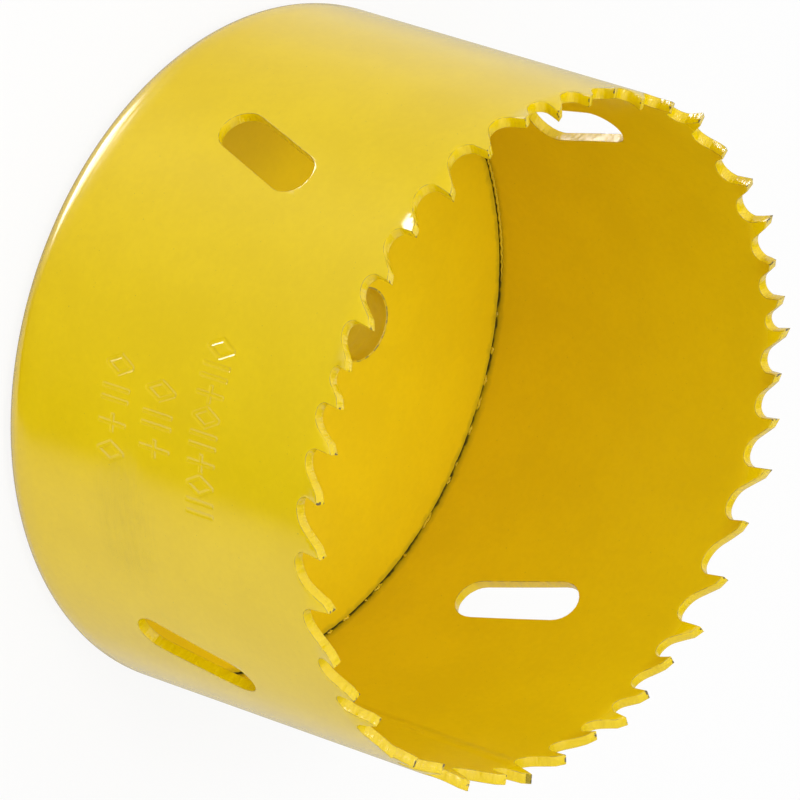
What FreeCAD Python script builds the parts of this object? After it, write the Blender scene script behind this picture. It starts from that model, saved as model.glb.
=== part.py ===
import FreeCAD, Part
import math
import os
import Sketcher

# A 76 mm hole saw. The origin is the centre of the flat back face, and +Z is the cutting
# axis, out of the toothed end. Two pieces: the band, a strip of saw steel rolled and
# butt-welded into a ring, and the backplate, a thick disc seated in the plain end of the
# band and welded there. The weld is turned off, so one round corner runs over both.

doc = FreeCAD.newDocument("hole_saw")

# Driving dimensions, in millimetres and degrees.
SIZES = [
    ("body_diameter", 74.8),
    ("band_wall", 1.2),
    ("overall_height", 45.4),
    ("rim_runout", 1.1),
    ("rim_high_angle", 100.0),
    ("corner_on_plate", 1.3),
    ("plate_thickness", 4.6),
    ("plate_edge_gap", 0.4),
    ("plate_edge_gap_depth", 1.4),
    ("arbor_bore_diameter", 14.4),
    ("arbor_bore_chamfer", 0.8),
    ("pin_hole_diameter", 8.0),
    ("pin_hole_circle", 27.2),
    ("pin_hole_angle", 322.0),
    ("slot_width", 5.2),
    ("slot_length", 15.0),
    ("slot_tilt", 18.0),
    ("slot_centre_height", 21.6),
    ("weld_seam_angle", 229.8),
    ("first_tip_past_weld", 0.3),
    ("rake_angle", 10.0),
    ("tip_land", 1.1),
    ("tip_land_angle", 24.0),
    ("tooth_back_angle", 47.0),
    ("tooth_set", 0.6),
    ("set_bend_depth", 1.9),
    ("edge_strip_depth", 2.4),
]

# Where the pry slots stand round the band, in degrees.
SLOT_ANGLES = (3.1, 87.5, 180.5, 269.1)

# Variable pitch: the strip repeats this run of tip-to-tip distances, from the first tip on.
PITCH_RUN = (5.6, 5.2, 4.9, 4.0, 4.9, 5.2, 6.1, 6.6, 6.2)

# Each gullet is cut to these shares of its own pitch.
GULLET_DEPTH_SHARE = 0.53
GULLET_RADIUS_SHARE = 0.225

# The teeth lean out, stand straight and lean in by turns.
SET_ORDER = (1, 0, -1)

sheet = doc.addObject("Spreadsheet::Sheet", "sizes")
for row, (alias, value) in enumerate(SIZES, start=1):
    sheet.set("A%d" % row, alias)
    sheet.set("B%d" % row, str(value))
    sheet.setAlias("B%d" % row, alias)
doc.recompute()


def size(alias):
    return float(getattr(sheet, alias))


def origin_plane(body, role):
    for feature in body.Origin.OriginFeatures:
        if feature.Role == role:
            return feature
    raise ValueError(role)


def origin_sketch(body, name, role, offset=None):
    sketch = body.newObject("Sketcher::SketchObject", name)
    sketch.AttachmentSupport = [(origin_plane(body, role), "")]
    sketch.MapMode = "FlatFace"
    if offset is not None:
        sketch.AttachmentOffset = offset
    return sketch


def drive(sketch, expression, *constraint):
    # A dimension of a sketch that follows the sizes sheet.
    index = sketch.addConstraint(Sketcher.Constraint(*constraint))
    sketch.setExpression("Constraints[%d]" % index, expression)


def line(sketch, start, end):
    segment = Part.LineSegment(FreeCAD.Vector(*start, 0), FreeCAD.Vector(*end, 0))
    return sketch.addGeometry(segment, False)


def arc(sketch, centre, radius, start_degrees, end_degrees):
    circle = Part.Circle(FreeCAD.Vector(*centre, 0), FreeCAD.Vector(0, 0, 1), radius)
    span = Part.ArcOfCircle(circle, math.radians(start_degrees), math.radians(end_degrees))
    return sketch.addGeometry(span, False)


def turn(body, name, sketch):
    # A full turn of a profile about the Z axis.
    revolution = body.newObject("PartDesign::Revolution", name)
    revolution.Profile = sketch
    revolution.ReferenceAxis = (sketch, ["V_Axis"])
    revolution.Angle = 360.0
    return revolution


def check_cut(before, after, name):
    # A pocket that points the wrong way removes nothing, so each cut is weighed.
    if not after.Shape.Volume < before - 1e-6:
        raise RuntimeError(name + " removed nothing")


body_radius = size("body_diameter") / 2
band_wall = size("band_wall")
inner_radius = body_radius - band_wall
height = size("overall_height")
runout = size("rim_runout")
corner_radius = band_wall + size("corner_on_plate")
tooth_set = size("tooth_set")
edge_height = height - runout - size("edge_strip_depth")

CORNER = "(sizes.band_wall + sizes.corner_on_plate)"
BODY_RADIUS = "sizes.body_diameter / 2"
INNER_RADIUS = "(sizes.body_diameter / 2 - sizes.band_wall)"
EDGE_HEIGHT = "sizes.overall_height - sizes.rim_runout - sizes.edge_strip_depth"


# The plain wall of the band, from the turned corner up to the harder strip of the tooth edge.

wall = doc.addObject("PartDesign::Body", "band_wall_body")
profile = origin_sketch(wall, "wall_profile", "XZ_Plane")
corner_start = -math.degrees(math.acos(size("corner_on_plate") / corner_radius))
corner_foot = corner_radius * (1 + math.sin(math.radians(corner_start)))
corner_arc = arc(profile, (body_radius - corner_radius, corner_radius), corner_radius, corner_start, 0)
outer_line = line(profile, (body_radius, corner_radius), (body_radius, edge_height))
top_line = line(profile, (body_radius, edge_height), (inner_radius, edge_height))
inner_line = line(profile, (inner_radius, edge_height), (inner_radius, corner_foot))
profile.addConstraint([
    Sketcher.Constraint("Tangent", corner_arc, 2, outer_line, 1),
    Sketcher.Constraint("Coincident", outer_line, 2, top_line, 1),
    Sketcher.Constraint("Coincident", top_line, 2, inner_line, 1),
    Sketcher.Constraint("Coincident", inner_line, 2, corner_arc, 1),
    Sketcher.Constraint("Vertical", outer_line),
    Sketcher.Constraint("Horizontal", top_line),
    Sketcher.Constraint("Vertical", inner_line),
])
drive(profile, CORNER, "Radius", corner_arc, corner_radius)
drive(profile, CORNER, "DistanceY", -1, 1, corner_arc, 3, corner_radius)
drive(profile, BODY_RADIUS, "DistanceX", -1, 1, outer_line, 1, body_radius)
drive(profile, INNER_RADIUS, "DistanceX", -1, 1, inner_line, 1, inner_radius)
drive(profile, EDGE_HEIGHT, "DistanceY", -1, 1, outer_line, 2, edge_height)
turn(wall, "rolled_wall", profile)
doc.recompute()


# The pry slots: round-ended, leaning along the wall, punched straight through it.

slot_width = size("slot_width")
slot_run = size("slot_length") - slot_width
slot_tilt = math.radians(size("slot_tilt"))
slot_height = size("slot_centre_height")


def slot_sketch(name, angle):
    turned = FreeCAD.Placement(
        FreeCAD.Vector(0, 0, 0), FreeCAD.Rotation(FreeCAD.Vector(0, 1, 0), angle)
    )
    sketch = origin_sketch(wall, name, "YZ_Plane", turned)
    along = (math.sin(slot_tilt), math.cos(slot_tilt))
    across = (along[1], -along[0])
    tilt_degrees = math.degrees(slot_tilt)
    ends = []
    for sign in (1, -1):
        ends.append((sign * slot_run / 2 * along[0], slot_height + sign * slot_run / 2 * along[1]))

    def edge_point(end, side):
        return (
            ends[end][0] + side * slot_width / 2 * across[0],
            ends[end][1] + side * slot_width / 2 * across[1],
        )

    top = arc(sketch, ends[0], slot_width / 2, -tilt_degrees, 180 - tilt_degrees)
    bottom = arc(sketch, ends[1], slot_width / 2, 180 - tilt_degrees, 360 - tilt_degrees)
    right = line(sketch, edge_point(1, 1), edge_point(0, 1))
    left = line(sketch, edge_point(0, -1), edge_point(1, -1))
    spine = line(sketch, ends[1], ends[0])
    sketch.setConstruction(spine, True)
    middle = sketch.addGeometry(Part.Point(FreeCAD.Vector(0, slot_height, 0)), True)
    sketch.addConstraint([
        Sketcher.Constraint("Tangent", right, 2, top, 1),
        Sketcher.Constraint("Tangent", top, 2, left, 1),
        Sketcher.Constraint("Tangent", left, 2, bottom, 1),
        Sketcher.Constraint("Tangent", bottom, 2, right, 1),
        Sketcher.Constraint("Equal", top, bottom),
        Sketcher.Constraint("Coincident", spine, 1, bottom, 3),
        Sketcher.Constraint("Coincident", spine, 2, top, 3),
        Sketcher.Constraint("Symmetric", spine, 1, spine, 2, middle, 1),
        Sketcher.Constraint("PointOnObject", middle, 1, -2),
    ])
    drive(sketch, "sizes.slot_width / 2", "Radius", top, slot_width / 2)
    drive(sketch, "sizes.slot_length - sizes.slot_width", "Distance", spine, slot_run)
    drive(sketch, "sizes.slot_centre_height", "DistanceY", -1, 1, middle, 1, slot_height)
    drive(sketch, "(90 - sizes.slot_tilt) * 1 deg", "Angle", -1, 1, spine, 1, math.pi / 2 - slot_tilt)
    return sketch


for number, angle in enumerate(SLOT_ANGLES, start=1):
    volume_before = wall.Shape.Volume
    slot = wall.newObject("PartDesign::Pocket", "pry_slot_%d" % number)
    slot.Profile = slot_sketch("slot_outline_%d" % number, angle)
    slot.Type = 0
    slot.Reversed = True
    slot.setExpression("Length", "sizes.body_diameter")
    doc.recompute()
    check_cut(volume_before, wall, slot.Name)


# The teeth. Tips are laid off round the outer surface from just past the weld seam, and the
# last gullet, over the weld, takes what is left of the circumference. The strip is rolled a
# little out of square, so the tips rise and fall once round the rim.

def pitch_after(index):
    return PITCH_RUN[index % len(PITCH_RUN)]


def tip_distances():
    circumference = math.pi * size("body_diameter")
    distances = [0.0]
    while distances[-1] + pitch_after(len(distances) - 1) + min(PITCH_RUN) <= circumference:
        distances.append(distances[-1] + pitch_after(len(distances) - 1))
    return distances, circumference


def tip_height(degrees):
    away = math.radians(degrees - size("rim_high_angle"))
    return height - runout / 2 * (1 - math.cos(away))


def gullet_profile(pitch, rise):
    # The outline of one gullet, from tip to tip. X runs round the band from the middle of
    # the gullet, and Y is up from the first tip: rake face, small arc, larger arc, straight
    # tooth back, then the flatter land up to the next tip, which stands higher by the rise.
    depth = GULLET_DEPTH_SHARE * pitch
    small = GULLET_RADIUS_SHARE * pitch
    rake = math.radians(size("rake_angle"))
    back = math.radians(size("tooth_back_angle"))
    land = size("tip_land")
    drop = land * math.tan(math.radians(size("tip_land_angle")))
    floor_x = (small * (1 + math.sin(rake)) - depth * math.sin(rake)) / math.cos(rake)
    climb = depth - drop + rise
    reach = (pitch - land - floor_x) * math.sin(back) - climb * math.cos(back)
    large = reach / (1 - math.cos(back))

    def at(x, y):
        return FreeCAD.Vector(x - pitch / 2, 0, y)

    def on_arc(radius, degrees):
        radians = math.radians(degrees)
        return at(floor_x + radius * math.sin(radians), -depth + radius * (1 - math.cos(radians)))

    rake_degrees = size("rake_angle") - 90
    back_degrees = size("tooth_back_angle")
    tip, floor = at(0, 0), at(floor_x, -depth)
    knee, next_tip = at(pitch - land, rise - drop), at(pitch, rise)
    above = FreeCAD.Vector(0, 0, CLEAR)
    rake_end = on_arc(small, rake_degrees)
    back_start = on_arc(large, back_degrees)
    return Part.Wire([
        Part.makeLine(tip, rake_end),
        Part.Arc(rake_end, on_arc(small, rake_degrees / 2), floor).toShape(),
        Part.Arc(floor, on_arc(large, back_degrees / 2), back_start).toShape(),
        Part.makeLine(back_start, knee),
        Part.makeLine(knee, next_tip),
        Part.makeLine(next_tip, next_tip + above),
        Part.makeLine(next_tip + above, tip + above),
        Part.makeLine(tip + above, tip),
    ]), floor_x


# How far the cutters run past what they cut.
CLEAR = 1.0


def turned_about_axis(shape, degrees):
    shape.rotate(FreeCAD.Vector(0, 0, 0), FreeCAD.Vector(0, 0, 1), degrees)
    return shape


def gullet_cutter(start_degrees, end_degrees):
    # The cutter stands on the -Y side, where +X runs the way the angles grow, and is then
    # turned to the middle of its gullet.
    tip_radius = body_radius + tooth_set
    half = math.radians(end_degrees - start_degrees) / 2
    first_height = tip_height(start_degrees)
    rise = tip_height(end_degrees) - first_height
    outline, floor_x = gullet_profile(2 * tip_radius * math.sin(half), rise)
    innermost = inner_radius - tooth_set - CLEAR
    reach = tip_radius + CLEAR - innermost
    outline.translate(FreeCAD.Vector(0, -innermost, first_height))
    cutter = Part.Face(outline).extrude(FreeCAD.Vector(0, -reach, 0))
    middle = (start_degrees + end_degrees) / 2
    floor_angle = start_degrees + math.degrees(floor_x / tip_radius)
    return turned_about_axis(cutter, middle + 90), floor_angle


def tooth_blank(lean, top, start_degrees, end_degrees):
    # One tooth's stretch of the edge: upright to its own bend, then leaning out or in by
    # the set.
    shift = lean * tooth_set
    bend = top - size("set_bend_depth")
    corners = [
        FreeCAD.Vector(inner_radius, 0, edge_height),
        FreeCAD.Vector(body_radius, 0, edge_height),
        FreeCAD.Vector(body_radius, 0, bend),
        FreeCAD.Vector(body_radius + shift, 0, top),
        FreeCAD.Vector(inner_radius + shift, 0, top),
        FreeCAD.Vector(inner_radius, 0, bend),
    ]
    section = Part.Face(Part.makePolygon(corners + corners[:1]))
    sweep = end_degrees - start_degrees
    blank = section.revolve(FreeCAD.Vector(0, 0, 0), FreeCAD.Vector(0, 0, 1), sweep)
    return turned_about_axis(blank, start_degrees)


distances, circumference = tip_distances()
tips = []
for distance in distances + [circumference]:
    past_weld = distance + size("first_tip_past_weld")
    tips.append(size("weld_seam_angle") + 360.0 * past_weld / circumference)

cutters = []
floors = []
for start_degrees, end_degrees in zip(tips[:-1], tips[1:]):
    cutter, floor_angle = gullet_cutter(start_degrees, end_degrees)
    cutters.append(cutter)
    floors.append(floor_angle)

blanks = []
for index in range(len(floors)):
    before = floors[index - 1] - (360.0 if index == 0 else 0.0)
    lean = SET_ORDER[index % len(SET_ORDER)]
    blanks.append(tooth_blank(lean, tip_height(tips[index]), before, floors[index]))

teeth = doc.addObject("Part::Feature", "tooth_blanks")
teeth.Shape = blanks[0].multiFuse(blanks[1:])

gullets = doc.addObject("Part::Feature", "gullet_cutters")
gullets.Shape = cutters[0].multiFuse(cutters[1:])

blank_band = doc.addObject("Part::MultiFuse", "blank_band")
blank_band.Shapes = [wall, teeth]
blank_band.Refine = True

band = doc.addObject("Part::Cut", "toothed_band")
band.Base = blank_band
band.Tool = gullets
doc.recompute()


# The backplate. Its rim is seated against the inside of the band, and at the back it
# carries on the band's turned corner. The inner face stands off the band by a small gap
# at its edge. The bore is at the thread's minor diameter.

backplate = doc.addObject("PartDesign::Body", "backplate_body")
plate = origin_sketch(backplate, "plate_profile", "XZ_Plane")
plate_thickness = size("plate_thickness")
gap_floor_height = plate_thickness - size("plate_edge_gap_depth")
rim_radius = inner_radius - size("plate_edge_gap")
bore_radius = size("arbor_bore_diameter") / 2
bore_chamfer = size("arbor_bore_chamfer")

GAP_FLOOR = "sizes.plate_thickness - sizes.plate_edge_gap_depth"
BORE_CHAMFER = "sizes.arbor_bore_chamfer"

outline = [
    (inner_radius, corner_foot),
    (inner_radius, gap_floor_height),
    (rim_radius, gap_floor_height),
    (rim_radius, plate_thickness),
    (bore_radius + bore_chamfer, plate_thickness),
    (bore_radius, plate_thickness - bore_chamfer),
    (bore_radius, bore_chamfer),
    (bore_radius + bore_chamfer, 0),
    (body_radius - corner_radius, 0),
]
edges = [line(plate, start, end) for start, end in zip(outline[:-1], outline[1:])]
seat, gap_floor, gap_side, inner_face, top_chamfer, bore_wall, low_chamfer, back_face = edges
plate_corner = arc(plate, (body_radius - corner_radius, corner_radius), corner_radius, -90, corner_start)
plate.addConstraint([
    Sketcher.Constraint("Coincident", first, 2, second, 1)
    for first, second in zip(edges[:-1], edges[1:])
])
plate.addConstraint([
    Sketcher.Constraint("Tangent", back_face, 2, plate_corner, 1),
    Sketcher.Constraint("Coincident", plate_corner, 2, seat, 1),
    Sketcher.Constraint("Vertical", seat),
    Sketcher.Constraint("Horizontal", gap_floor),
    Sketcher.Constraint("Vertical", gap_side),
    Sketcher.Constraint("Horizontal", inner_face),
    Sketcher.Constraint("Vertical", bore_wall),
    Sketcher.Constraint("Horizontal", back_face),
    Sketcher.Constraint("PointOnObject", back_face, 2, -1),
])
drive(plate, CORNER, "Radius", plate_corner, corner_radius)
drive(plate, INNER_RADIUS, "DistanceX", -1, 1, seat, 1, inner_radius)
drive(
    plate, BODY_RADIUS + " - " + CORNER, "DistanceX", -1, 1, plate_corner, 3, body_radius - corner_radius
)
drive(plate, INNER_RADIUS + " - sizes.plate_edge_gap", "DistanceX", -1, 1, gap_side, 1, rim_radius)
drive(plate, GAP_FLOOR, "DistanceY", -1, 1, gap_floor, 1, gap_floor_height)
drive(plate, "sizes.plate_thickness", "DistanceY", -1, 1, gap_side, 2, plate_thickness)
drive(plate, "sizes.arbor_bore_diameter / 2", "DistanceX", -1, 1, bore_wall, 1, bore_radius)
drive(plate, BORE_CHAMFER, "DistanceX", top_chamfer, 2, top_chamfer, 1, bore_chamfer)
drive(plate, BORE_CHAMFER, "DistanceY", top_chamfer, 2, top_chamfer, 1, bore_chamfer)
drive(plate, BORE_CHAMFER, "DistanceX", low_chamfer, 1, low_chamfer, 2, bore_chamfer)
drive(plate, BORE_CHAMFER, "DistanceY", low_chamfer, 2, low_chamfer, 1, bore_chamfer)
turn(backplate, "turned_plate", plate)
doc.recompute()


# The two drive-pin holes, opposite each other, right through the backplate.

pins = origin_sketch(backplate, "pin_hole_circles", "XY_Plane")
pin_radius = size("pin_hole_diameter") / 2
pin_angle = math.radians(size("pin_hole_angle"))
pin_circle = size("pin_hole_circle") / 2
circles = []
for sign in (1, -1):
    centre = FreeCAD.Vector(
        sign * pin_circle * math.cos(pin_angle), sign * pin_circle * math.sin(pin_angle), 0
    )
    circles.append(pins.addGeometry(Part.Circle(centre, FreeCAD.Vector(0, 0, 1), pin_radius), False))
across = pins.addGeometry(
    Part.LineSegment(
        FreeCAD.Vector(0, 0, 0),
        FreeCAD.Vector(pin_circle * math.cos(pin_angle), pin_circle * math.sin(pin_angle), 0),
    ),
    True,
)
pins.addConstraint([
    Sketcher.Constraint("Coincident", across, 1, -1, 1),
    Sketcher.Constraint("Coincident", across, 2, circles[0], 3),
    Sketcher.Constraint("Symmetric", circles[0], 3, circles[1], 3, -1, 1),
    Sketcher.Constraint("Equal", circles[0], circles[1]),
])
drive(pins, "sizes.pin_hole_diameter / 2", "Radius", circles[0], pin_radius)
drive(pins, "sizes.pin_hole_circle / 2", "Distance", across, pin_circle)
drive(
    pins, "(sizes.pin_hole_angle - 360) * 1 deg", "Angle", -1, 1, across, 1, pin_angle - 2 * math.pi
)

volume_before = backplate.Shape.Volume
pin_holes = backplate.newObject("PartDesign::Pocket", "pin_holes")
pin_holes.Profile = pins
pin_holes.Type = 0
pin_holes.Reversed = True
pin_holes.setExpression("Length", "sizes.plate_thickness")
doc.recompute()
check_cut(volume_before, backplate, pin_holes.Name)


# Hand over the two pieces.

PIECES = {"saw_band": band, "backplate": backplate}
for node, piece in PIECES.items():
    piece.Label = node

doc.recompute()
for item in doc.Objects:
    for fault in ("Invalid", "Error"):
        if fault in item.State:
            raise RuntimeError(item.Name + " is " + fault)

os.makedirs("parts", exist_ok=True)
for node, piece in PIECES.items():
    shape = piece.Shape
    if shape.isNull() or not shape.isValid() or len(shape.Solids) != 1:
        raise RuntimeError(node + " isn't one sound solid")
    shape.exportStep("parts/" + node + ".step")
    box = shape.BoundBox
    print(
        node, "volume %.1f" % shape.Volume,
        "x %.3f %.3f y %.3f %.3f z %.3f %.3f" % (box.XMin, box.XMax, box.YMin, box.YMax, box.ZMin, box.ZMax),
    )
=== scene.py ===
import math

import bpy
from mathutils import Matrix, Vector


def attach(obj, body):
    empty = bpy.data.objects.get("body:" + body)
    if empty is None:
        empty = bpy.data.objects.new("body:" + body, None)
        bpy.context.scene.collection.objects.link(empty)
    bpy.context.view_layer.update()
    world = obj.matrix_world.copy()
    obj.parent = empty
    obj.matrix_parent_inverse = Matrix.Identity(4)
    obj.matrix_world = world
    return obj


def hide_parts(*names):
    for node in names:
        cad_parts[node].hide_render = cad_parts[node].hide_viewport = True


# A painted hole saw. Two pieces are modelled here over the frame's two nodes: the toothed
# band, drawn flat as a strip, cut, set and rolled up, and the turned backplate with its
# thread, its drive-pin holes and its weld.

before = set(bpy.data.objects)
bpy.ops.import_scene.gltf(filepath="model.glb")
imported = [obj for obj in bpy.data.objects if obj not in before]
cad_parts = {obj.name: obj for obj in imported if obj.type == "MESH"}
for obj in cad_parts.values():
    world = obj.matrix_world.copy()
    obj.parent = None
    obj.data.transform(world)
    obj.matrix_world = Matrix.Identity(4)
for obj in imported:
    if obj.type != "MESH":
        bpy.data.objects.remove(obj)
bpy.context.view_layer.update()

MM = 0.001
BODY_RADIUS = 37.4 * MM
WALL = 1.2 * MM
INNER_RADIUS = BODY_RADIUS - WALL
HEIGHT = 45.4 * MM
CORNER = 2.5 * MM
CORNER_FOOT = CORNER - math.sqrt(CORNER ** 2 - (CORNER - WALL) ** 2)
ROUND = 2 * math.pi * BODY_RADIUS


# Working by hand: one object at a time is active, and nothing else is selected.

def deselect():
    for other in bpy.context.selected_objects:
        other.select_set(False)


def take(piece):
    if bpy.context.mode != "OBJECT":
        bpy.ops.object.mode_set(mode="OBJECT")
    deselect()
    piece.select_set(True)
    bpy.context.view_layer.objects.active = piece
    return piece


def take_none():
    if bpy.context.mode != "OBJECT":
        bpy.ops.object.mode_set(mode="OBJECT")
    deselect()


def edit(piece, mode="VERT"):
    take(piece)
    bpy.ops.object.mode_set(mode="EDIT")
    bpy.ops.mesh.select_mode(type=mode)


def leave_edit():
    bpy.ops.object.mode_set(mode="OBJECT")


def pick(piece, test, domain="vertices"):
    # Selects by place: the test is given a vertex, edge or face of the piece.
    bpy.ops.mesh.select_all(action="DESELECT")
    bpy.ops.object.mode_set(mode="OBJECT")
    for part in getattr(piece.data, domain):
        part.select = bool(test(part))
    bpy.ops.object.mode_set(mode="EDIT")


def settle(piece):
    # The finished piece's object goes to the origin, with its place in the mesh.
    take(piece)
    bpy.ops.object.transform_apply(location=True, rotation=True, scale=True)
    return piece


def apply_modifier(piece, name, kind, **settings):
    take(piece)
    modifier = piece.modifiers.new(name, kind)
    for key, value in settings.items():
        setattr(modifier, key, value)
    bpy.ops.object.modifier_apply(modifier=modifier.name)


# The strip's outline, drawn flat: X runs round the band and Z stands along its axis. The
# rim is a little out of square, so the tips rise and fall once round it.

SEAM_ANGLE = 229.8
RUNOUT = 1.1 * MM
HIGH_ANGLE = 100.0
PAST_WELD = 0.3 * MM
PITCH_RUN = (5.6, 5.2, 4.9, 4.0, 4.9, 5.2, 6.1, 6.6, 6.2)
RAKE = math.radians(10)
BACK = math.radians(47)
LAND = 1.1 * MM
LAND_SLOPE = math.tan(math.radians(24))
DROP = LAND * LAND_SLOPE
# A gullet's depth and its small arc, as shares of its pitch.
DEPTH_SHARE = 0.53
SMALL_ARC_SHARE = 0.225


def tooth_tips():
    tips = [0.0]
    while tips[-1] + (PITCH_RUN[(len(tips) - 1) % len(PITCH_RUN)] + min(PITCH_RUN)) * MM <= ROUND:
        tips.append(tips[-1] + PITCH_RUN[(len(tips) - 1) % len(PITCH_RUN)] * MM)
    return [tip + PAST_WELD for tip in tips + [ROUND]]


def rim(x):
    # The height of the tips at this place round the band.
    away = x / BODY_RADIUS + math.radians(SEAM_ANGLE - HIGH_ANGLE)
    return HEIGHT - RUNOUT / 2 * (1 - math.cos(away))


def gullet(start, end):
    # From one tip to the next: rake face, small arc, larger arc, straight back, land.
    pitch, top, next_top = end - start, rim(start), rim(end)
    depth, small = DEPTH_SHARE * pitch, SMALL_ARC_SHARE * pitch
    floor = (small * (1 + math.sin(RAKE)) - depth * math.sin(RAKE)) / math.cos(RAKE)
    climb = depth - DROP + next_top - top
    large = ((pitch - LAND - floor) * math.sin(BACK) - climb * math.cos(BACK)) / (1 - math.cos(BACK))
    across, low = start + floor, top - depth
    points = [(start, top)]
    for step in range(8):
        angle = RAKE - math.pi / 2 + (math.pi / 2 - RAKE) * step / 8
        points.append((across + small * math.sin(angle), low + small * (1 - math.cos(angle))))
    for step in range(8):
        angle = BACK * step / 7
        points.append((across + large * math.sin(angle), low + large * (1 - math.cos(angle))))
    points.append((end - LAND, next_top - DROP))
    return points, across


TIPS = tooth_tips()
GULLETS = [gullet(start, end) for start, end in zip(TIPS[:-1], TIPS[1:])]
FLOORS = [floor for points, floor in GULLETS]

SLOT_ANGLES = (3.1, 87.5, 180.5, 269.1)
SLOT_WIDTH = 5.2 * MM
SLOT_LENGTH = 15.0 * MM
SLOT_TILT = math.radians(18)
SLOT_HEIGHT = 21.6 * MM


def slot_outline(middle):
    points = []
    for end, first in ((1, -SLOT_TILT), (-1, math.pi - SLOT_TILT)):
        reach = end * (SLOT_LENGTH - SLOT_WIDTH) / 2
        for step in range(13):
            angle = first + math.pi * step / 12
            points.append((
                middle + reach * math.sin(SLOT_TILT) + SLOT_WIDTH / 2 * math.cos(angle),
                SLOT_HEIGHT + reach * math.cos(SLOT_TILT) + SLOT_WIDTH / 2 * math.sin(angle),
            ))
    return points


# The strip is drawn a little too long, and is cut to length at the butt weld, on the land
# of the first tooth.
SPARE = 0.5 * MM


def strip_outline():
    top = [(-SPARE, rim(0) - (SPARE + PAST_WELD) * LAND_SLOPE)]
    for points, floor in GULLETS:
        top += points
    top.append((ROUND + PAST_WELD, rim(PAST_WELD)))
    foot = [(ROUND + PAST_WELD, CORNER_FOOT), (-SPARE, CORNER_FOOT)]
    return top + foot


def drawn_flat(name, outlines, thickness):
    curve = bpy.data.curves.new(name, "CURVE")
    curve.dimensions = "2D"
    curve.fill_mode = "BOTH"
    curve.extrude = thickness / 2
    for outline in outlines:
        spline = curve.splines.new("POLY")
        spline.points.add(len(outline) - 1)
        for point, (x, z) in zip(spline.points, outline):
            point.co = (x, z, 0, 1)
        spline.use_cyclic_u = True
    piece = bpy.data.objects.new(name, curve)
    bpy.context.collection.objects.link(piece)
    take(piece)
    bpy.ops.object.convert(target="MESH")
    return bpy.context.object


slots = [slot_outline(math.radians((angle - SEAM_ANGLE) % 360) * BODY_RADIUS) for angle in SLOT_ANGLES]
band = drawn_flat("band", [strip_outline()] + slots, WALL)
band.rotation_euler = (math.pi / 2, 0, 0)
band.location = (0, WALL / 2, 0)
settle(band)
edit(band)
bpy.ops.mesh.select_all(action="SELECT")
bpy.ops.mesh.remove_doubles(threshold=1e-7)
bpy.ops.mesh.normals_make_consistent(inside=False)
leave_edit()


# The paint rounds the edges of the teeth and slots. The middle of the rounding is
# marked, and the material draws a dark line of varying strength along it.

PAINT_ROUNDING = 0.09 * MM


def on_cut_edge(mesh):
    caps = {}
    for face in mesh.polygons:
        flat = abs(face.normal.y) > 0.9
        for key in face.edge_keys:
            caps.setdefault(key, []).append(flat)

    def test(edge):
        first, second = (mesh.vertices[index].co for index in edge.vertices)
        if max(first.z, second.z) < CORNER_FOOT + 1e-6 or (first - second).length > 20 * MM:
            return False
        if abs(first.x - second.x) < 1e-7 and (first.x < 0 or first.x > ROUND):
            return False
        return sorted(caps[edge.key]) == [False, True]

    return test


def clear_flats(piece):
    # Leaves no more edges across the strip's two flat sides than they need.
    edit(piece, "FACE")
    pick(piece, lambda face: abs(face.normal.y) > 0.99, "polygons")
    bpy.ops.mesh.dissolve_limited(angle_limit=0.001, use_dissolve_boundaries=False)
    leave_edit()


clear_flats(band)
edit(band, "EDGE")
pick(band, on_cut_edge(band.data), "edges")
bpy.ops.mesh.bevel(offset=PAINT_ROUNDING, segments=2, profile=0.5, affect="EDGES", clamp_overlap=False)
leave_edit()
clear_flats(band)


def mark(piece, name, value):
    # Writes a number at each point, for the material to read.
    layer = piece.data.attributes.new(name, "FLOAT", "POINT")
    layer.data.foreach_set("value", [value(vertex.co) for vertex in piece.data.vertices])


def rounding_middle(co):
    depth = min(co.y, WALL - co.y)
    return 1.0 if 0.01 * MM < depth < 0.06 * MM else 0.0


mark(band, "rounding_middle", rounding_middle)


# Cut into columns and rows, so that it can be set, turned in at the foot and rolled.

def cut_across(piece, axis, places):
    edit(piece)
    plane = [0, 0, 0]
    plane["xyz".index(axis)] = 1
    for place in places:
        bpy.ops.mesh.select_all(action="SELECT")
        bpy.ops.mesh.bisect(plane_co=[place * share for share in plane], plane_no=plane, threshold=1e-7)
    leave_edit()


COLUMNS = 360
corner_sweep = math.acos((CORNER - WALL) / CORNER)
corner_rows = [CORNER * (1 - math.sin(corner_sweep * step / 7)) for step in range(7)]
SET_DEPTH = 2.8 * MM
SET_REACH = 0.6 * MM
tooth_rows = [HEIGHT - 0.4 * MM * step for step in range(1, 14)]
cut_across(band, "z", corner_rows + tooth_rows)
cut_across(band, "x", [ROUND * column / COLUMNS for column in range(COLUMNS + 1)])
edit(band, "FACE")
pick(band, lambda face: not 0 < face.center.x < ROUND, "polygons")
bpy.ops.mesh.delete(type="FACE")
bpy.ops.mesh.select_all(action="SELECT")
bpy.ops.mesh.remove_doubles(threshold=0.0002 * MM)
leave_edit()


def mark_place(piece, name):
    # The place on the flat strip in millimetres, for patterns that follow the metal.
    layer = piece.data.attributes.new(name, "FLOAT_VECTOR", "POINT")
    places = [coordinate / MM for vertex in piece.data.vertices for coordinate in vertex.co]
    layer.data.foreach_set("vector", places)


def mark_faces(piece, name, value):
    layer = piece.data.attributes.new(name, "FLOAT", "FACE")
    layer.data.foreach_set("value", [value(face) for face in piece.data.polygons])


def near_tip(co):
    gap = min(math.hypot(co.x - tip, co.z - rim(tip)) for tip in TIPS)
    return max(0.0, 1.0 - gap / (1.2 * MM))


def beside_weld(co):
    gap = (co.x + ROUND / 2) % ROUND - ROUND / 2
    return min(4.0, abs(gap) / MM)


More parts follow.
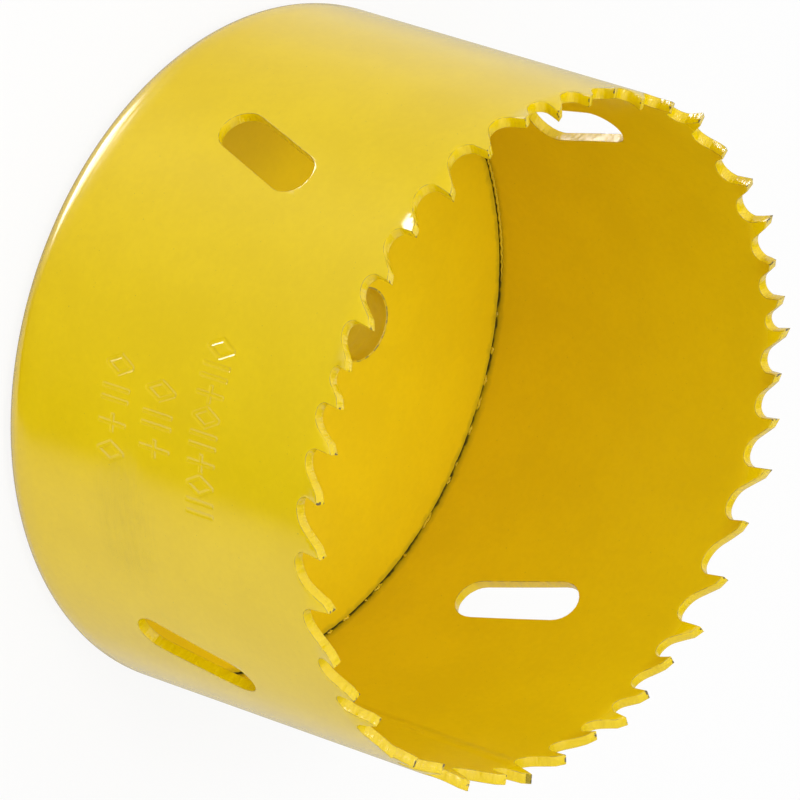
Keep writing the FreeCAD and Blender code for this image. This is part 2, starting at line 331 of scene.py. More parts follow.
def cut_face(face):
    return 1.0 if abs(face.normal.y) < 0.6 and face.center.z > CORNER_FOOT + 1e-5 else 0.0


mark_place(band, "flat_place")
mark(band, "near_tip", near_tip)
mark(band, "beside_weld", beside_weld)
mark_faces(band, "cut_face", cut_face)


# Each vertex group says how far its points are pushed, as a share of the whole push.

def push(piece, name, share, distance):
    group = piece.vertex_groups.new(name=name)
    for vertex in piece.data.vertices:
        weight = share(vertex.co)
        if weight > 0:
            group.add([vertex.index], min(weight, 1.0), "REPLACE")
    apply_modifier(
        piece, name, "DISPLACE", direction="Y", strength=distance, mid_level=0.0, vertex_group=name
    )


def turned_in(co):
    if co.z > CORNER:
        return 0.0
    depth = CORNER - math.sqrt(CORNER ** 2 - (CORNER - co.z) ** 2)
    return depth / WALL * (1 - co.y / WALL)


def smooth(value):
    value = max(0.0, min(1.0, value))
    return value * value * (3 - 2 * value)


def lean(x):
    # Out, straight and in by turns, changing smoothly over each gullet's floor.
    blend = 0.5 * MM
    total = 0.0
    for index in range(len(FLOORS) + 1):
        before = FLOORS[index - 1] if index else -1.0
        after = FLOORS[index] if index < len(FLOORS) else 1.0
        if before - blend < x < after + blend:
            share = smooth((x - before) / (2 * blend) + 0.5)
            share *= smooth((after - x) / (2 * blend) + 0.5)
            total += share * (1, 0, -1)[index % len(FLOORS) % 3]
    return total


def set_share(sign):
    def share(co):
        rise = (co.z - rim(co.x) + SET_DEPTH) / SET_DEPTH
        return max(0.0, sign * lean(co.x)) * rise ** 1.6 if rise > 0 else 0.0
    return share


push(band, "set_out", set_share(1), -SET_REACH)
push(band, "set_in", set_share(-1), SET_REACH)
push(band, "corner", turned_in, WALL)


# Rolled up and butt-welded.

apply_modifier(band, "roll", "SIMPLE_DEFORM", deform_method="BEND", deform_axis="Z", angle=2 * math.pi)
band.location = (0, -BODY_RADIUS, 0)
settle(band)
band.rotation_euler = (0, 0, math.radians(SEAM_ANGLE + 90))
settle(band)
part_line = Vector((math.cos(math.radians(SEAM_ANGLE)), math.sin(math.radians(SEAM_ANGLE))))


def at_weld(vertex):
    beside = vertex.co.xy.length * math.sin(part_line.angle_signed(vertex.co.xy))
    return abs(beside) < 0.01 * MM and part_line.dot(vertex.co.xy) > 0


edit(band)
pick(band, lambda vertex: vertex.co.z < CORNER_FOOT + 0.001 * MM)
bpy.ops.mesh.remove_doubles(threshold=0.003 * MM)
pick(band, at_weld)
bpy.ops.mesh.remove_doubles(threshold=0.03 * MM)
bpy.ops.mesh.select_all(action="SELECT")
bpy.ops.mesh.dissolve_degenerate(threshold=0.012 * MM)
bpy.ops.mesh.select_all(action="DESELECT")
bpy.ops.mesh.select_non_manifold()
bpy.ops.mesh.fill_holes(sides=0)
bpy.ops.mesh.select_all(action="DESELECT")
leave_edit()


def finish_surface(piece, angle=40):
    take(piece)
    bpy.ops.object.shade_smooth_by_angle(angle=math.radians(angle))
    apply_modifier(piece, "even_shading", "WEIGHTED_NORMAL", weight=80, keep_sharp=True)


finish_surface(band)


# Turned pieces: a circle is drawn out from ring to ring along the profile, and closed.

def turned(name, profile, segments, closed=True):
    first_radius, first_height = profile[0]
    take_none()
    bpy.ops.mesh.primitive_circle_add(vertices=segments, radius=first_radius, location=(0, 0, first_height))
    piece = bpy.context.object
    piece.name = name
    piece.data.name = name
    settle(piece)
    edit(piece)
    bpy.ops.mesh.select_all(action="SELECT")
    radius, height = first_radius, first_height
    points = profile[1:] + (profile[:1] if closed else [])
    for next_radius, next_height in points:
        bpy.ops.mesh.extrude_edges_move()
        scale = next_radius / radius
        bpy.ops.transform.resize(value=(scale, scale, 1), center_override=(0, 0, 0))
        bpy.ops.transform.translate(value=(0, 0, next_height - height))
        radius, height = next_radius, next_height
    bpy.ops.mesh.select_all(action="SELECT")
    bpy.ops.mesh.remove_doubles(threshold=0.001 * MM)
    if not closed:
        bpy.ops.mesh.select_all(action="DESELECT")
        bpy.ops.mesh.select_non_manifold()
        bpy.ops.mesh.fill_holes(sides=0)
        bpy.ops.mesh.select_all(action="SELECT")
    bpy.ops.mesh.normals_make_consistent(inside=False)
    bpy.ops.mesh.select_all(action="DESELECT")
    leave_edit()
    return piece


def cut_away(piece, cutter):
    apply_modifier(piece, "cut", "BOOLEAN", operation="DIFFERENCE", object=cutter, solver="EXACT")
    bpy.data.objects.remove(cutter)


def arc_points(centre, radius, first, last, steps):
    points = []
    for step in range(steps + 1):
        angle = math.radians(first + (last - first) * step / steps)
        points.append((centre[0] + radius * math.cos(angle), centre[1] + radius * math.sin(angle)))
    return points


# The backplate, turned to shape.

PLATE = 4.6 * MM
BORE = 7.2 * MM
CHAMFER = 0.8 * MM
GAP_FLOOR = 3.2 * MM
RIM = INNER_RADIUS - 0.20 * MM
foot_angle = -math.degrees(corner_sweep)

plate_profile = arc_points((BODY_RADIUS - CORNER, CORNER), CORNER, -90, foot_angle, 8)
plate_profile += [(INNER_RADIUS, GAP_FLOOR), (RIM, GAP_FLOOR)]
plate_profile += arc_points((RIM - 0.12 * MM, PLATE - 0.12 * MM), 0.12 * MM, 0, 90, 3)
plate_profile += [(BORE + CHAMFER, PLATE), (BORE, PLATE - CHAMFER), (BORE, CHAMFER), (BORE + CHAMFER, 0)]
plate = turned("plate", plate_profile, 480)


# Drive-pin holes, with the paint rounding their mouths.

PIN_RADIUS = 4.0 * MM
pin_profile = [(PIN_RADIUS + 0.5 * MM, -0.5 * MM), (PIN_RADIUS + 0.15 * MM, -0.001 * MM)]
pin_profile += arc_points((PIN_RADIUS + 0.15 * MM, 0.15 * MM), 0.15 * MM, -120, -180, 3)
pin_profile += [(radius, PLATE - height) for radius, height in reversed(pin_profile)]
PIN_REACH = 13.6
PIN_ANGLES = (322, 142)
PIN_PLACES = [
    (PIN_REACH * math.cos(math.radians(angle)), PIN_REACH * math.sin(math.radians(angle)), 0)
    for angle in PIN_ANGLES
]
for pin_place in PIN_PLACES:
    pin = turned("pin_cutter", pin_profile, 72, closed=False)
    pin.location = [coordinate * MM for coordinate in pin_place]
    settle(pin)
    cut_away(plate, pin)


# The arbor thread is tapped last.

THREAD_PITCH = 1.411 * MM
ROOT, CREST = 7.1 * MM, 7.94 * MM
take_none()
bpy.ops.mesh.primitive_plane_add(size=MM)
tap = bpy.context.object
tap.name = "tap"
edit(tap)
bpy.ops.mesh.delete(type="VERT")
leave_edit()
# One turn's outline: radius, and height in millimetres.
turn = [(ROOT, 0), (CREST, 0.485), (CREST, 0.661), (ROOT, 1.146), (ROOT, 1.411)]
corners = [(radius, 0, height * MM - 2 * MM) for radius, height in turn]
tap.data.from_pydata(corners, [(0, 1), (1, 2), (2, 3), (3, 4)], [])
apply_modifier(
    tap, "helix", "SCREW", axis="Z", screw_offset=THREAD_PITCH, iterations=6, steps=96, render_steps=96,
    use_merge_vertices=True, merge_threshold=0.001 * MM,
)
edit(tap)
bpy.ops.mesh.select_all(action="SELECT")
bpy.ops.mesh.remove_doubles(threshold=0.002 * MM)
bpy.ops.mesh.bisect(
    plane_co=(0, 0, -0.4 * MM), plane_no=(0, 0, 1), threshold=1e-7, clear_inner=True, use_fill=True,
)
bpy.ops.mesh.select_all(action="SELECT")
bpy.ops.mesh.bisect(
    plane_co=(0, 0, 5.0 * MM), plane_no=(0, 0, 1), threshold=1e-7, clear_outer=True, use_fill=True,
)
bpy.ops.mesh.select_all(action="SELECT")
bpy.ops.mesh.normals_make_consistent(inside=False)
leave_edit()
cut_away(plate, tap)


# Weld metal that bridges the gap round the backplate: short beads, and one long ridge. Each
# runs between two angles, at a height, and has a thickness.
BEADS = (
    (248.4, 249.8, 4.72, 0.17), (252.6, 254.6, 4.62, 0.19), (258.6, 259.2, 4.66, 0.12),
    (261.3, 263.6, 4.66, 0.17), (269.9, 270.6, 4.74, 0.16), (276.0, 279.7, 4.60, 0.15),
    (285.2, 286.8, 4.62, 0.14), (288.7, 289.6, 4.60, 0.12), (294.6, 296.6, 4.62, 0.15),
    (299.2, 301.9, 4.64, 0.17), (303.6, 305.7, 4.62, 0.16), (309.3, 310.8, 4.66, 0.17),
    (316.0, 317.0, 4.58, 0.11), (322.2, 352.0, 4.80, 0.16),
)
BEAD_RADIUS = 36.06 * MM


def bead(first, last, height, thickness):
    steps = max(6, round((last - first) * 2))
    curve = bpy.data.curves.new("bead", "CURVE")
    curve.dimensions = "3D"
    curve.bevel_depth = 0.9 * thickness * MM
    curve.bevel_resolution = 2
    spline = curve.splines.new("POLY")
    spline.points.add(steps)
    for step, point in enumerate(spline.points):
        angle = math.radians(first + (last - first) * step / steps)
        wave = math.sin(first + step * 1.9)
        reach = BEAD_RADIUS + 0.04 * MM * wave
        point.co = (reach * math.cos(angle), reach * math.sin(angle), (height + 0.04 * wave) * MM, 1)
        end = min(step, steps - step) / (0.3 * steps)
        point.radius = min(1.0, end) ** 0.5 * (1 + 0.16 * math.sin(first * 3 + step * 2.7))
    piece = bpy.data.objects.new("bead", curve)
    bpy.context.collection.objects.link(piece)
    take(piece)
    bpy.ops.object.convert(target="MESH")
    piece = bpy.context.object
    edit(piece)
    bpy.ops.mesh.select_all(action="SELECT")
    bpy.ops.mesh.remove_doubles(threshold=0.002 * MM)
    bpy.ops.mesh.normals_make_consistent(inside=False)
    leave_edit()
    mark(piece, "bead", lambda co: 1.0)
    return piece


# The plate's rim is ragged where the weld was made.
rim_edge = plate.vertex_groups.new(name="rim_edge")
for vertex in plate.data.vertices:
    if vertex.co.z > PLATE - 0.6 * MM and vertex.co.xy.length > RIM - 0.05 * MM:
        rim_edge.add([vertex.index], 1.0, "REPLACE")
ragged = bpy.data.textures.new("ragged", "CLOUDS")
ragged.noise_scale = 1.1 * MM
apply_modifier(
    plate, "ragged_rim", "DISPLACE", texture=ragged, texture_coords="LOCAL",
    strength=0.30 * MM, mid_level=0.5, vertex_group="rim_edge",
)
mark(plate, "bead", lambda co: 0.0)
beads = [bead(*place) for place in BEADS]
take(plate)
for piece in beads:
    piece.select_set(True)
bpy.ops.object.join()
finish_surface(plate, 35)


# Node groups and materials.

def join(tree, source, socket):
    if isinstance(source, bpy.types.NodeSocket):
        tree.links.new(source, socket)
    else:
        socket.default_value = source


def node(tree, kind, links=(), **settings):
    made = tree.nodes.new(kind)
    for key, value in settings.items():
        setattr(made, key, value)
    for socket, source in dict(links).items():
        join(tree, source, made.inputs[socket])
    return made


def maths(tree, operation, *sources):
    made = node(tree, "ShaderNodeMath", operation=operation)
    for socket, source in zip(made.inputs, sources):
        join(tree, source, socket)
    return made.outputs[0]


def vector_maths(tree, operation, first, second):
    made = node(tree, "ShaderNodeVectorMath", {0: first, 1: second}, operation=operation)
    return made.outputs[0]


def length(tree, vector):
    return node(tree, "ShaderNodeVectorMath", {0: vector}, operation="LENGTH").outputs["Value"]


def ease(tree, value, low, high, first=0.0, last=1.0):
    # A soft step: first below the low value, last above the high one.
    made = node(tree, "ShaderNodeMapRange", interpolation_type="SMOOTHSTEP")
    names = ("Value", "From Min", "From Max", "To Min", "To Max")
    for name, source in zip(names, (value, low, high, first, last)):
        join(tree, source, made.inputs[name])
    return made.outputs["Result"]


def noise(tree, place, scale, detail=2.0, stretch=(1, 1, 1), shift=(0, 0, 0)):
    spread = node(tree, "ShaderNodeMapping", {"Vector": place, "Scale": stretch, "Location": shift})
    made = node(tree, "ShaderNodeTexNoise", {"Vector": spread.outputs[0], "Scale": scale, "Detail": detail})
    return made.outputs["Fac"]


def blend(tree, share, first, second):
    made = node(tree, "ShaderNodeMix", data_type="RGBA")
    join(tree, share, made.inputs[0])
    for socket, source in ((made.inputs[6], first), (made.inputs[7], second)):
        if isinstance(source, tuple):
            source = source + (1,)
        join(tree, source, socket)
    return made.outputs[2]


def new_group(name, inputs, outputs):
    group = bpy.data.node_groups.new(name, "ShaderNodeTree")
    for label, kind in inputs:
        group.interface.new_socket(label, in_out="INPUT", socket_type=kind)
    for label, kind in outputs:
        group.interface.new_socket(label, in_out="OUTPUT", socket_type=kind)
    source = group.nodes.new("NodeGroupInput")
    target = group.nodes.new("NodeGroupOutput")
    return group, source.outputs, target.inputs


NUMBER, VECTOR, COLOUR = "NodeSocketFloat", "NodeSocketVector", "NodeSocketColor"
YELLOW = (0.81, 0.585, 0.0008)
DEEP_YELLOW = (0.73, 0.515, 0.001)
EDGE_GREY = (0.13, 0.11, 0.07)
SPECK = (0.03, 0.025, 0.035)
# The next colour is painted shade: the dark drawn in the gap round the backplate.
GAP_SHADE = (0.075, 0.072, 0.012)


COAT_MARKS = ("Edge", "Cut", "Speck", "Gap_shade", "Dull")


def enamel_coat():
    # The paint film: its mottled colour, its gloss and its pebbled skin. Edge is where a dark
    # line of varying strength is drawn along a rounded edge, Cut is a cut face under it, Speck is
    # a bare tip, and the gap mark is painted shade in the gap round the backplate.
    tree, given, wanted = new_group(
        "enamel_coat",
        [("Place", VECTOR), ("Grain", VECTOR)] + [(label, NUMBER) for label in COAT_MARKS],
        [("Color", COLOUR), ("Roughness", NUMBER), ("Height", NUMBER)],
    )
    place = given["Place"]
    fine = noise(tree, place, 1.4, 3.0)
    broad = noise(tree, place, 0.12, 2.0, shift=(40, 11, 7))
    mottle = maths(tree, "ADD", maths(tree, "MULTIPLY", fine, 0.35), maths(tree, "MULTIPLY", broad, 0.55))
    colour = blend(tree, ease(tree, mottle, 0.30, 0.62, 0.55, 0.0), YELLOW, DEEP_YELLOW)
    dust = noise(tree, place, 5.0, 1.0, shift=(3, 80, 21))
    colour = blend(tree, ease(tree, dust, 0.765, 0.80, 0.0, 0.5), colour, (0.25, 0.19, 0.03))
    breaks = noise(tree, place, 1.1, 2.0, shift=(17, 5, 90))
    line = ease(tree, breaks, 0.40, 0.56, 0.25, 1.0)
    line = maths(tree, "MULTIPLY", ease(tree, given["Edge"], 0.35, 0.85), line)
    colour = blend(tree, maths(tree, "MULTIPLY", line, 0.75), colour, EDGE_GREY)
    patch = noise(tree, place, 2.6, 2.0, shift=(61, 33, 2))
    bare = ease(tree, maths(tree, "MULTIPLY", given["Speck"], patch), 0.46, 0.55)
    colour = blend(tree, maths(tree, "MULTIPLY", bare, 0.9), colour, SPECK)
    # Painted shade in the gap round the backplate.
    gap_shade = given["Gap_shade"]
    colour = blend(tree, maths(tree, "POWER", gap_shade, 0.7), colour, GAP_SHADE)
    tree.links.new(colour, wanted["Color"])
    rough = maths(tree, "ADD", maths(tree, "MULTIPLY", fine, 0.06), 0.11)
    rough = maths(tree, "ADD", rough, maths(tree, "MULTIPLY", line, 0.2))
    rough = maths(tree, "SUBTRACT", rough, maths(tree, "MULTIPLY", given["Cut"], 0.07))
    rough = maths(tree, "ADD", rough, maths(tree, "MULTIPLY", bare, 0.3))
    rough = maths(tree, "MAXIMUM", rough, maths(tree, "MULTIPLY", gap_shade, 0.6))
    rough = maths(tree, "MAXIMUM", rough, maths(tree, "MULTIPLY", given["Dull"], 0.36))
    tree.links.new(rough, wanted["Roughness"])
    peel = noise(tree, place, 0.9, 2.0, shift=(9, 9, 9))
    across = noise(tree, given["Grain"], 1.2, 4.0, stretch=(1, 0.30, 1), shift=(5, 0, 31))
    ridges = maths(tree, "MULTIPLY", maths(tree, "MULTIPLY", across, given["Cut"]), 85.0)
    height = maths(tree, "ADD", peel, ridges)
    tree.links.new(height, wanted["Height"])
    return tree


COAT = enamel_coat()


def enamel(name, place, grain, edge, cut, speck, gap_shade, dull, relief):
    # Place, edge and the rest are functions that build their nodes in the material's tree.
    material = bpy.data.materials.new(name)
    material.use_nodes = True
    tree = material.node_tree
    coat = node(tree, "ShaderNodeGroup", node_tree=COAT)
    labels = ("Place", "Grain") + COAT_MARKS
    for label, build in zip(labels, (place, grain, edge, cut, speck, gap_shade, dull)):
        join(tree, build(tree), coat.inputs[label])
    shader = tree.nodes["Principled BSDF"]
    shader.inputs["IOR"].default_value = 1.5
    tree.links.new(coat.outputs["Color"], shader.inputs["Base Color"])
    tree.links.new(coat.outputs["Roughness"], shader.inputs["Roughness"])
    height = maths(tree, "ADD", coat.outputs["Height"], relief(tree))
    skin = node(tree, "ShaderNodeBump", {"Height": height, "Strength": 1.0, "Distance": 0.0035 * MM})
    tree.links.new(skin.outputs["Normal"], shader.inputs["Normal"])
    return material


def read(name, output="Fac"):
    return lambda tree: node(tree, "ShaderNodeAttribute", attribute_name=name).outputs[output]


def nothing(tree):
    return 0.0


def object_place(tree):
    coordinates = node(tree, "ShaderNodeTexCoord").outputs["Object"]
    scaled = node(tree, "ShaderNodeVectorMath", operation="SCALE")
    tree.links.new(coordinates, scaled.inputs[0])
    scaled.inputs["Scale"].default_value = 1 / MM
    return scaled.outputs[0]


def radius_and_height(tree):
    parts = node(tree, "ShaderNodeSeparateXYZ", {"Vector": object_place(tree)})
    x, y, z = parts.outputs
    squares = maths(tree, "ADD", maths(tree, "MULTIPLY", x, x), maths(tree, "MULTIPLY", y, y))
    return maths(tree, "SQRT", squares), z


def everywhere(tree):
    return 1.0


def band_inside(tree):
    radius, z = radius_and_height(tree)
    return ease(tree, radius, 36.22, 36.5, 1.0, 0.0)


def band_gap_shade(tree):
    # Painted shade inside the gap round the backplate, on the band's side, with fainter
    # painted shade above it.
    radius, z = radius_and_height(tree)
    inside = ease(tree, radius, 36.25, 36.35, 1.0, 0.0)
    place = object_place(tree)
    wander = maths(tree, "MULTIPLY", maths(tree, "SUBTRACT", noise(tree, place, 0.8, 3.0), 0.5), 0.9)
    z = maths(tree, "ADD", z, wander)
    gap = ease(tree, z, 4.35, 4.8, 1.0, 0.0)
    shade = ease(tree, z, 4.7, 5.5, 0.12, 0.0)
    return maths(tree, "MULTIPLY", inside, maths(tree, "MAXIMUM", gap, shade))


def hole_distance(tree):
    # How far a point is from the axis of the nearer drive-pin hole.
    place = object_place(tree)
    distances = []
    for pin in PIN_PLACES:
        away = vector_maths(tree, "SUBTRACT", place, pin)
        flat = vector_maths(tree, "MULTIPLY", away, (1.0, 1.0, 0.0))
        distances.append(length(tree, flat))
    return maths(tree, "MINIMUM", *distances)


def mouth_edge(tree):
    distance = hole_distance(tree)
    outer = ease(tree, distance, 4.15, 4.25, 1.0, 0.0)
    return maths(tree, "MULTIPLY", ease(tree, distance, 4.0, 4.04), outer)


def plate_relief(tree):
    # Turning rings in the walls of the drive-pin holes.
    rings = noise(tree, object_place(tree), 1.0, 2.0, stretch=(0.2, 0.2, 1.6), shift=(4, 2, 50))
    return maths(tree, "MULTIPLY", rings, ease(tree, hole_distance(tree), 4.0, 4.06, 30.0, 0.0))


def plate_gap_shade(tree):
    # Painted shade on the backplate's top face next to the gap round it: dark at the rim, faint further in,
    # and none on the weld beads.
    radius, z = radius_and_height(tree)
    place = object_place(tree)
    wander = maths(tree, "SUBTRACT", noise(tree, place, 0.8, 3.0, shift=(5, 5, 0)), 0.5)
    near = maths(tree, "ADD", radius, maths(tree, "MULTIPLY", wander, 0.5))
    wide = maths(tree, "ADD", radius, maths(tree, "MULTIPLY", wander, 1.2))
    edge = ease(tree, near, 35.82, 35.98)
    faint = ease(tree, wide, 35.2, 35.8, 0.0, 0.16)
    dark = maths(tree, "MAXIMUM", edge, faint)
    dark = maths(tree, "MULTIPLY", dark, ease(tree, z, 2.9, 3.0))
    bright = maths(tree, "MULTIPLY", read("bead")(tree), 0.88)
    return maths(tree, "MULTIPLY", dark, maths(tree, "SUBTRACT", 1.0, bright))


def stamped_shapes():
    # One row of plain shapes as relief: diamond, double bar and cross by turns. Start, Pitch
    # and Count lay the row out round the band, and Middle is the height of its middle.
    tree, given, wanted = new_group(
        "stamped_shapes",
        [("Place", VECTOR)] + [(label, NUMBER) for label in ("Start", "Pitch", "Count", "Middle", "Tall")],
        [("Depth", NUMBER)],
    )
    x, y, z = node(tree, "ShaderNodeSeparateXYZ", {"Vector": given["Place"]}).outputs
    turn = maths(tree, "DIVIDE", maths(tree, "SUBTRACT", x, given["Start"]), given["Pitch"])
    index = maths(tree, "FLOOR", turn)
    across = maths(tree, "SUBTRACT", maths(tree, "SUBTRACT", turn, index), 0.5)
    across = maths(tree, "ABSOLUTE", maths(tree, "MULTIPLY", across, given["Pitch"]))
    up = maths(tree, "SUBTRACT", z, given["Middle"])
    tall = given["Tall"]
    up_share = maths(tree, "DIVIDE", maths(tree, "ABSOLUTE", up), tall)
    diamond = maths(tree, "SUBTRACT", maths(tree, "ADD", across, up_share), 0.95)
    diamond = maths(tree, "MULTIPLY", maths(tree, "ABSOLUTE", diamond), 0.85)
    pair = maths(tree, "ABSOLUTE", maths(tree, "SUBTRACT", across, 0.62))
    bar = maths(tree, "MAXIMUM", maths(tree, "ABSOLUTE", up), maths(tree, "SUBTRACT", across, 0.75))
    cross = maths(tree, "MINIMUM", across, bar)
    kind = maths(tree, "MODULO", index, 3.0)
    first = maths(tree, "LESS_THAN", kind, 0.5)
    last = maths(tree, "GREATER_THAN", kind, 1.5)
    middle = maths(tree, "SUBTRACT", maths(tree, "SUBTRACT", 1.0, first), last)
    away = maths(tree, "MULTIPLY", diamond, first)
    away = maths(tree, "ADD", away, maths(tree, "MULTIPLY", pair, middle))
    away = maths(tree, "ADD", away, maths(tree, "MULTIPLY", cross, last))
    stroke = ease(tree, away, 0.06, 0.36, 1.0, 0.0)
    rise = maths(tree, "SUBTRACT", maths(tree, "ABSOLUTE", up), tall)
    stroke = maths(tree, "MULTIPLY", stroke, ease(tree, rise, -0.15, 0.15, 1.0, 0.0))
    inside = maths(tree, "LESS_THAN", turn, given["Count"])
    inside = maths(tree, "MULTIPLY", maths(tree, "GREATER_THAN", turn, 0.0), inside)
    tree.links.new(maths(tree, "MULTIPLY", stroke, inside), wanted["Depth"])
    return tree


# Where the three stamped rows stand on the flat strip, in millimetres.
STAMPED_ROWS = (
    {"Start": 162.7, "Pitch": 2.44, "Count": 8.0, "Middle": 28.5, "Tall": 1.9},
    {"Start": 168.5, "Pitch": 3.1, "Count": 3.0, "Middle": 21.9, "Tall": 2.1},
    {"Start": 167.2, "Pitch": 3.1, "Count": 4.0, "Middle": 15.8, "Tall": 1.9},
)
SHAPES = stamped_shapes()


def scuffs(tree, place):
    # Fine scratches round the band beside the stamped rows.
    hairs = noise(tree, place, 1.0, 4.0, stretch=(0.10, 1, 4.5), shift=(0, 0, 12))
    hairs = ease(tree, maths(tree, "ABSOLUTE", maths(tree, "SUBTRACT", hairs, 0.5)), 0.0, 0.035, 1.0, 0.0)
    around = vector_maths(tree, "SUBTRACT", place, (186.0, 0.0, 17.5))
    spread = length(tree, vector_maths(tree, "MULTIPLY", around, (0.55, 1.0, 1.0)))
    hairs = maths(tree, "MULTIPLY", hairs, ease(tree, spread, 1.5, 6.0, 1.0, 0.0))
    return maths(tree, "MULTIPLY", hairs, -4.5)


def foot_lean(tree, place):
    # The wall starts to lean in a little above the corner at its foot, where the metal is
    # brushed round.
    x, y, z = node(tree, "ShaderNodeSeparateXYZ", {"Vector": place}).outputs
    below = maths(tree, "MAXIMUM", maths(tree, "SUBTRACT", 4.6, z), 0.0)
    fall = maths(tree, "MULTIPLY", maths(tree, "MULTIPLY", below, below), -8.0)
    brushed = noise(tree, place, 2.2, 3.0, stretch=(0.05, 1, 1), shift=(70, 0, 3))
    brushed = maths(tree, "MULTIPLY", brushed, ease(tree, z, 2.4, 5.0, 7.0, 0.0))
    return maths(tree, "ADD", fall, brushed)


def band_relief(tree):
    # Relief in the paint only: the butt weld's flat scar, scratches, the lean above the foot
    # and the stamped rows.
    gap = read("beside_weld")(tree)
    place = read("flat_place", "Vector")(tree)
    scar = ease(tree, gap, 0.1, 1.5, 1.0, 0.0)
    ripple = noise(tree, object_place(tree), 0.5, 2.0)
    height = maths(tree, "MULTIPLY", scar, maths(tree, "ADD", maths(tree, "MULTIPLY", ripple, 50.0), 24.0))
    height = maths(tree, "ADD", height, scuffs(tree, place))
    height = maths(tree, "ADD", height, foot_lean(tree, place))
    for row in STAMPED_ROWS:
        shapes = node(tree, "ShaderNodeGroup", node_tree=SHAPES)
        join(tree, place, shapes.inputs["Place"])
        for label, value in row.items():
            shapes.inputs[label].default_value = value
        height = maths(tree, "SUBTRACT", height, maths(tree, "MULTIPLY", shapes.outputs["Depth"], 25.0))
    return height


band.data.materials.clear()
band.data.materials.append(enamel(
    "band_enamel", object_place, read("flat_place", "Vector"), read("rounding_middle"), read("cut_face"),
    read("near_tip"), band_gap_shade, band_inside, band_relief,
))
plate.data.materials.clear()
plate.data.materials.append(enamel(
    "plate_enamel", object_place, object_place, mouth_edge, nothing,
    nothing, plate_gap_shade, everywhere, plate_relief,
))

for piece, stands_for in ((band, "saw_band"), (plate, "backplate")):
    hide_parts(stands_for)
    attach(piece, "root")


# The floor, the light and the background.

take_none()
bpy.ops.mesh.primitive_plane_add(size=6.0, location=(0, 0, 0))
floor = bpy.context.object
floor.name = "floor"
# The gloss looks through the floor, to the surroundings below it.
floor.visible_glossy = False
paper = bpy.data.materials.new("floor_paper")
paper.use_nodes = True
tree = paper.node_tree
tree.nodes.clear()
path = node(tree, "ShaderNodeLightPath")
lit = node(tree, "ShaderNodeBsdfDiffuse", {"Color": (0.8, 0.8, 0.8, 1)})
glow = node(tree, "ShaderNodeEmission", {"Color": (1, 1, 1, 1), "Strength": path.outputs["Is Camera Ray"]})
share = node(tree, "ShaderNodeMixShader", {"Fac": 0.88})
tree.links.new(lit.outputs[0], share.inputs[1])
tree.links.new(glow.outputs[0], share.inputs[2])
both = node(tree, "ShaderNodeMixShader", {"Fac": path.outputs["Is Camera Ray"]})
tree.links.new(lit.outputs[0], both.inputs[1])
tree.links.new(share.outputs[0], both.inputs[2])
node(tree, "ShaderNodeOutputMaterial", {"Surface": both.outputs[0]})
floor.data.materials.append(paper)

# A disc just under the floor that gives off the colour of the paint. Only the gloss sees
# it: the floor hides it from the camera, and the gloss doesn't see the floor.
take_none()
bpy.ops.mesh.primitive_circle_add(
    vertices=64, radius=36 * MM, location=(0, 0, -0.05 * MM), fill_type="NGON",
)
under = bpy.context.object
under.name = "floor_under_saw"
settle(under)
warm_paper = bpy.data.materials.new("floor_under_saw_paper")
warm_paper.use_nodes = True
tree = warm_paper.node_tree
tree.nodes.clear()
glow = node(tree, "ShaderNodeEmission", {"Color": (0.80, 0.62, 0.03, 1), "Strength": 1.0})
node(tree, "ShaderNodeOutputMaterial", {"Surface": glow.outputs[0]})
under.data.materials.append(warm_paper)

# The studio: even light from above, and below the floor bright and dark surroundings that
# only the gloss shows. They are set for the reflections in the photograph. Each stop is a
# bearing in degrees and the brightness there.
SURROUNDINGS = (
    (0, 0.80), (11, 0.66), (36, 0.54), (48, 0.48), (60, 0.56), (70, 0.70), (80, 0.68),
    (92, 0.56), (103, 0.46), (112, 0.33), (122, 0.24), (142, 0.12), (158, 0.03), (170.5, 0.03),
    (176.5, 0.76), (183, 0.92), (191, 1.02), (202, 0.94), (218, 0.86), (234, 0.77), (250, 0.68),
    (266, 0.74), (282, 0.62), (298, 0.46), (316, 0.62), (334, 0.78), (360, 0.80),
)
# Toward a bright patch below the floor, a dark card above it, and a small lamp above it.
LAMP = Vector((0.215, 0.372, -0.903)).normalized()
DARK = Vector((0.37, -0.69, 0.62)).normalized()
GLOW = Vector((0.0, 0.375, 0.927)).normalized()

world = bpy.data.worlds.new("studio")
bpy.context.scene.world = world
world.use_nodes = True
tree = world.node_tree
direction = node(tree, "ShaderNodeTexCoord").outputs["Generated"]
x, y, z = node(tree, "ShaderNodeSeparateXYZ", {"Vector": direction}).outputs
turned_by = maths(tree, "DIVIDE", maths(tree, "ARCTAN2", y, x), 2 * math.pi)
bearing = maths(tree, "FRACT", maths(tree, "ADD", turned_by, 1.0))
ramp = node(tree, "ShaderNodeValToRGB", {"Fac": bearing})
stops = ramp.color_ramp.elements
for degrees, bright in SURROUNDINGS[1:-1]:
    stops.new(degrees / 360)
for stop, (degrees, bright) in zip(stops, SURROUNDINGS):
    stop.color = (bright, bright, bright, 1)


def glow_toward(aim, wide, narrow, strength):
    toward = node(tree, "ShaderNodeVectorMath", operation="DOT_PRODUCT")
    tree.links.new(direction, toward.inputs[0])
    toward.inputs[1].default_value = aim
    edges = math.cos(math.radians(wide)), math.cos(math.radians(narrow))
    return ease(tree, toward.outputs["Value"], *edges, 0.0, strength)


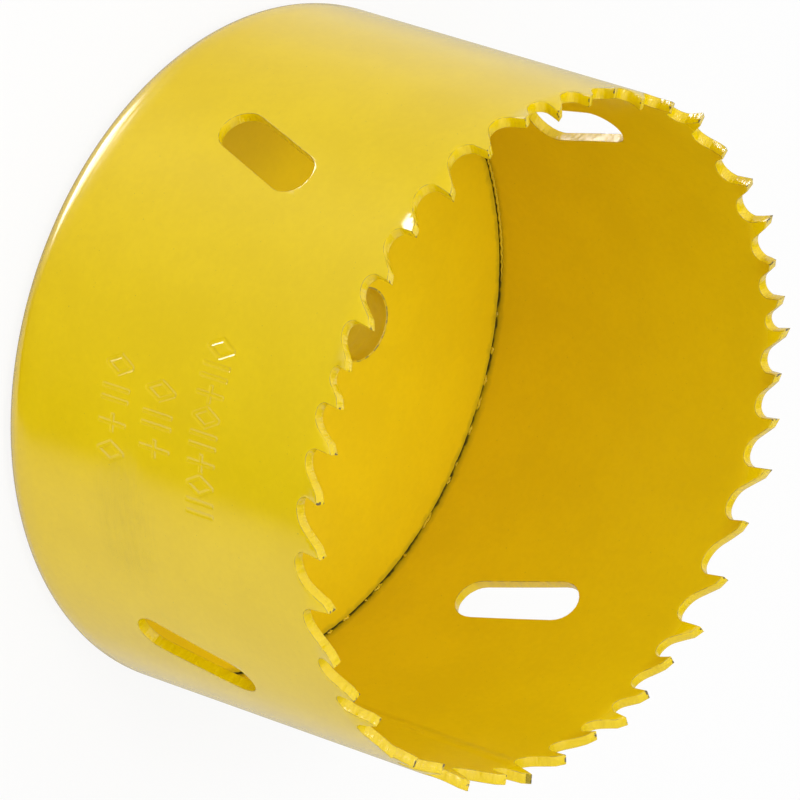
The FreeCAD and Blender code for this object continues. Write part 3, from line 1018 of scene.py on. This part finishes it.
above = maths(tree, "ADD", maths(tree, "MULTIPLY", x, 0.12), 0.91)
above = maths(tree, "ADD", above, glow_toward(GLOW, 50, 8, 0.75))
above = maths(tree, "MULTIPLY", above, maths(tree, "SUBTRACT", 1.0, glow_toward(DARK, 34, 16, 0.8)))
above = maths(tree, "ADD", above, glow_toward(GLOW, 6, 2, 17.0))
high = ease(tree, z, -0.25, 0.0)
below = maths(tree, "MULTIPLY", ramp.outputs["Color"], maths(tree, "SUBTRACT", 1.0, high))
level = maths(tree, "ADD", below, maths(tree, "MULTIPLY", above, high))
level = maths(tree, "ADD", level, glow_toward(LAMP, 18, 6, 16.0))
level = maths(tree, "ADD", level, glow_toward(LAMP, 28, 6, 1.2))
ray = node(tree, "ShaderNodeLightPath").outputs["Is Camera Ray"]
level = maths(tree, "MAXIMUM", maths(tree, "MULTIPLY", level, maths(tree, "SUBTRACT", 1.0, ray)), ray)
tree.links.new(level, tree.nodes["Background"].inputs["Strength"])
tree.nodes["Background"].inputs["Color"].default_value = (1, 1, 1, 1)

bpy.context.scene.view_settings.view_transform = "Standard"


# The camera, at the photograph's viewing angle. It leans, so that the saw's axis runs down
# to the right across the frame. Its angles, the saw's place before it and its lens were
# fitted to the photograph, in pixels where they name pixels.

SIDE = math.radians(50.508)
LEAN = math.radians(14.6333)
SPIN = math.radians(50.9)
FIT_SCALE = 0.98421
SAW_CENTRE = Vector((-26.380, -25.690, 1070.842)) * FIT_SCALE * MM
PICTURE = 800
FOCAL_PIXELS = 9840.5
LENS_CENTRE_PIXELS = (487.04, 575.59)
SENSOR = 36.0


def camera_axes():
    # The saw's own axes as the lens sees them: right, down and away.
    across = Vector((math.cos(SIDE), 0.0, math.sin(SIDE)))
    upward = Vector((math.sin(SIDE) * math.sin(LEAN), -math.cos(LEAN), -math.cos(SIDE) * math.sin(LEAN)))
    along = across.cross(upward)
    x = across * math.cos(SPIN) + upward * math.sin(SPIN)
    y = upward * math.cos(SPIN) - across * math.sin(SPIN)
    return Matrix((x, y, along))


rows = camera_axes()
middle = [(PICTURE / 2 - centre) / FOCAL_PIXELS for centre in LENS_CENTRE_PIXELS]
aim = Vector((middle[0], middle[1], 1)).normalized()
right = (Vector((1, 0, 0)) - aim * aim.x).normalized()
down = aim.cross(right)
camera_place = Matrix((rows @ right, rows @ -down, rows @ -aim)).transposed().to_4x4()
camera_place.translation = rows @ -SAW_CENTRE
bpy.ops.object.camera_add()
camera = bpy.context.object
camera.name = "camera"
camera.data.sensor_width = SENSOR
camera.data.lens = FOCAL_PIXELS * SENSOR / PICTURE
camera.data.clip_start = 0.1
camera.data.clip_end = 20.0
camera.matrix_world = camera_place
bpy.context.scene.camera = camera
